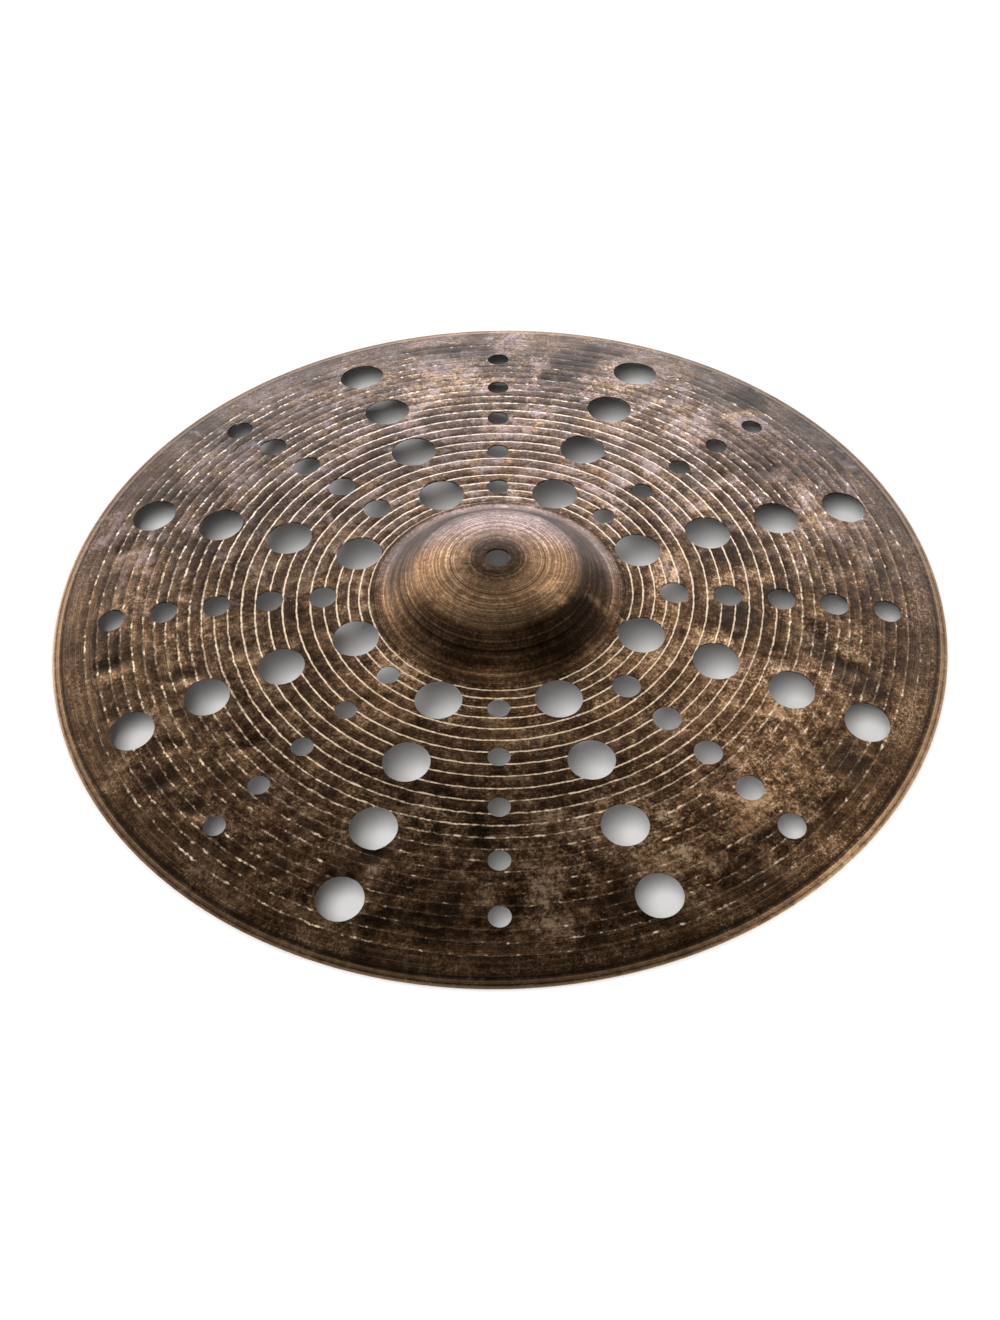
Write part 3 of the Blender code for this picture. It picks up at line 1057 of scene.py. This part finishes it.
        # Painted shade in the rim groove: strong at the front, faint at the back.
        groove = self.times(self.ring(RIM_GROOVE, RIM_GROOVE_SHADE_WIDTH), self.blend(self.back, 0.85, 0.15))
        return self.mix(self.most(dirt, groove), colour, DIRT_AND_GROOVE_SHADE)

    def rimmed(self, colour):
        """Adds the turned rings of the outer band and the bare metal of the rim."""
        bare = self.span(self.turned(0.8, detail=1.0), 0.5, 0.62)
        bare = self.times(bare, self.zone(TURNED_START))
        bare = self.times(bare, self.zone(TURNED_END, 0.6))
        bare = self.times(bare, self.span(self.noise(15.0, detail=4.0), 0.38, 0.6, 0.25, 1.15))
        bare = self.most(bare, *[self.ring(*ring) for ring in RIM_METAL_RINGS])
        bare = self.times(bare, self.span(self.mottle, 0.3, 0.6, 0.4, 1.0))
        colour = self.mix(self.zone(RIM_START, 0.5), colour, RIM_BROWN)
        return self.mix(self.times(bare, 0.85), colour, BARE_RIM)

    def lined(self, colour):
        """Adds the lathe line."""
        colour = self.mix(self.times(self.shadow, 0.2), colour, LINE_SHADOW)
        colour = self.mix(self.times(self.worn, 0.34), colour, WORN_LINE)
        # Towards the back the line turns paler: painted reflection.
        return self.mix(self.bright, colour, self.mix(self.back, BRIGHT_LINE, BRIGHT_LINE_BACK))

    def roughness(self):
        rough = self.span(self.mottle, 0.3, 0.7, 0.34, 0.48)
        rough = self.blend(self.dark, rough, 0.5)
        rough = self.blend(self.gold, rough, 0.42)
        return self.blend(self.bright, rough, 0.45)

    def relief(self):
        relief = self.plus(self.times(self.speck, 0.045), self.mottle, 0.12)
        return self.plus(relief, self.bands, 0.05)


def bronze_material():
    bronze = Bronze()
    colour = bronze.rimmed(bronze.dirty_and_shaded(bronze.stains_and_painted_light(bronze.patina_colour())))
    # The stored tone scales the colour up and down: patina differences together with painted light and
    # shade.
    patina_and_painted_light = bronze.math("POWER", 2.0, bronze.attribute("tone"))
    bronze.set("Base Color", bronze.lined(bronze.scaled(colour, patina_and_painted_light)))
    bronze.set("Roughness", bronze.roughness())
    bronze.set("Metallic", bronze.blend(bronze.bright, 1.0, 0.1))
    bronze.bump(bronze.relief(), MM)
    return bronze.material


def wall_material():
    """The cut edge of a drilled hole: darkened bronze with a few bare spots."""
    wall = Recipe("patinated_bronze_cut")
    spots = wall.noise(1.6, detail=4.0, roughness=0.65)
    wall.set("Base Color", wall.ramp(spots, CUT_WALL))
    wall.set("Roughness", wall.span(spots, 0.3, 0.7, 0.6, 0.4))
    wall.set("Metallic", 1.0)
    wall.bump(spots, 0.05 * MM)
    return wall.material


def floor_material():
    paper = Recipe("floor_white")
    paper.set("Base Color", paper.ramp(paper.noise(4.0), PAPER))
    paper.set("Roughness", 0.9)
    return paper.material


# ---- stage ---------------------------------------------------------------------------------------
CAMERA_ELEVATION = math.radians(47.0)
CAMERA_AZIMUTH = math.radians(0.84)
CAMERA_ROLL = math.radians(-1.31)
CAMERA_DISTANCE = 1.5724
LENS = 83.57
SENSOR = 36.0
SHIFT = (0.0006, -0.025)
TARGET_HEIGHT = 0.0006
FLOOR_RADIUS = 2.4
FLOOR_SIDES = 96
FLOOR_GAP = 0.0003
WELL_RADIUS = 0.222
WELL_BOTTOM_RADIUS = 0.3
WELL_DEPTH = 0.018
ROOM_LIGHT = (0.95, 0.95, 0.95, 1)
ROOM_STRENGTH = 0.17
BACKDROP = (1, 1, 1, 1)
WHITE = (1.0, 0.995, 0.985)
WARM = (1.0, 0.95, 0.88)


def make_camera():
    level = Vector((math.sin(CAMERA_AZIMUTH), -math.cos(CAMERA_AZIMUTH), 0))
    back = level * math.cos(CAMERA_ELEVATION) + Vector((0, 0, math.sin(CAMERA_ELEVATION)))
    right = Vector((0, 0, 1)).cross(back).normalized()
    up = back.cross(right)
    cos_roll, sin_roll = math.cos(CAMERA_ROLL), math.sin(CAMERA_ROLL)
    rolled_right = right * cos_roll + up * sin_roll
    rolled_up = up * cos_roll - right * sin_roll
    lens = bpy.data.cameras.new("camera")
    lens.lens = LENS
    lens.sensor_width = SENSOR
    lens.shift_x, lens.shift_y = SHIFT
    camera = bpy.data.objects.new("camera", lens)
    turn = Matrix((rolled_right, rolled_up, back)).transposed().to_4x4()
    camera.matrix_world = Matrix.Translation(back * CAMERA_DISTANCE + Vector((0, 0, TARGET_HEIGHT))) @ turn
    bpy.context.scene.collection.objects.link(camera)
    bpy.context.scene.camera = camera


def make_floor():
    """Plain floor; a shallow well, hidden under the plate, deepens the shading seen through the holes."""
    angle = np.arange(FLOOR_SIDES) * TAU / FLOOR_SIDES
    compass = np.column_stack([np.cos(angle), np.sin(angle), np.zeros(FLOOR_SIDES)])
    bottom = compass * WELL_BOTTOM_RADIUS - (0, 0, WELL_DEPTH)
    points = np.vstack([compass * FLOOR_RADIUS, compass * WELL_RADIUS, bottom])
    faces = []
    for side in range(FLOOR_SIDES):
        after = (side + 1) % FLOOR_SIDES
        faces.append((side, after, FLOOR_SIDES + after, FLOOR_SIDES + side))
    faces.append(tuple(range(2 * FLOOR_SIDES, 3 * FLOOR_SIDES)))
    mesh = bpy.data.meshes.new("floor")
    mesh.from_pydata(points.tolist(), [], faces)
    floor = bpy.data.objects.new("floor", mesh)
    floor.location.z = -FLOOR_GAP
    bpy.context.scene.collection.objects.link(floor)
    mesh.materials.append(floor_material())
    return floor


def make_world():
    """Dim all-round light; the camera sees a white backdrop instead."""
    world = bpy.data.worlds.new("studio")
    world.use_nodes = True
    tree = world.node_tree
    room = tree.nodes["Background"]
    room.inputs["Color"].default_value = ROOM_LIGHT
    room.inputs["Strength"].default_value = ROOM_STRENGTH
    backdrop = tree.nodes.new("ShaderNodeBackground")
    backdrop.inputs["Color"].default_value = BACKDROP
    backdrop.inputs["Strength"].default_value = 1.0
    path = tree.nodes.new("ShaderNodeLightPath")
    choice = tree.nodes.new("ShaderNodeMixShader")
    tree.links.new(path.outputs["Is Camera Ray"], choice.inputs[0])
    tree.links.new(room.outputs[0], choice.inputs[1])
    tree.links.new(backdrop.outputs[0], choice.inputs[2])
    tree.links.new(choice.outputs[0], tree.nodes["World Output"].inputs["Surface"])
    bpy.context.scene.world = world


def direction(elevation, azimuth, distance):
    """A place in metres; azimuth 0 is the right-hand side and 90 the back."""
    elevation, azimuth = math.radians(elevation), math.radians(azimuth)
    level = distance * math.cos(elevation)
    return level * math.cos(azimuth), level * math.sin(azimuth), distance * math.sin(elevation)


def softbox(name, place, size, power, colour):
    """One area light that faces the middle of the plate; the camera doesn't see it."""
    lamp = bpy.data.lights.new(name, "AREA")
    lamp.shape = "RECTANGLE"
    lamp.size, lamp.size_y = size
    lamp.energy = power
    lamp.color = colour
    light = bpy.data.objects.new(name, lamp)
    light.location = place
    light.visible_camera = False
    light.rotation_euler = Vector(place).to_track_quat("Z", "Y").to_euler()
    bpy.context.scene.collection.objects.link(light)
    return light


# Softboxes: (name, place, size, watts, colour).
PLATE_LIGHTS = [
    ("back_softbox", (0.3, 2.4, 0.75), (3.4, 1.2), 72, (0.97, 0.97, 1.0)),
    ("left_softbox", direction(16, 140, 2.2), (1.2, 1.05), 30, WARM),
    ("right_softbox", direction(26, 42, 2.2), (1.0, 0.8), 12, WARM),
    ("high_right_softbox", direction(52, 55, 2.2), (0.8, 0.8), 2.5, (1.0, 0.93, 0.84)),
    ("front_low_softbox", direction(12, 275, 2.2), (2.4, 0.5), 20, (1.0, 0.86, 0.74)),
    ("line_light", direction(66, 250, 2.2), (0.9, 0.9), 11.5, (1.0, 0.97, 0.93)),
]
FLOOR_LIGHTS = [
    ("floor_key", direction(57, 257, 4.8), (1.7, 1.7), 205, WHITE),
    ("floor_back", (0, 4.8, 1.9), (9.0, 2.2), 230, WHITE),
    ("floor_left", direction(22, 170, 4.8), (3.6, 1.8), 95, WHITE),
    ("floor_right", direction(22, 10, 4.8), (3.6, 1.8), 95, WHITE),
]


def light_only(target, rows, name):
    """Lights that reach one object and pass over everything else."""
    receivers = bpy.data.collections.new(name)
    receivers.objects.link(target)
    for row in rows:
        softbox(*row).light_linking.receiver_collection = receivers


plate = drilled(solid_plate(), drills())
plate.data.materials.clear()
plate.data.materials.append(bronze_material())
plate.data.materials.append(wall_material())
surface_values(plate.data)
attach(plate, BODY)
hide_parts(NODE)
floor = make_floor()
make_camera()
make_world()
light_only(plate, PLATE_LIGHTS, "plate_only")
light_only(floor, FLOOR_LIGHTS, "floor_only")
bpy.context.scene.view_settings.view_transform = "Standard"
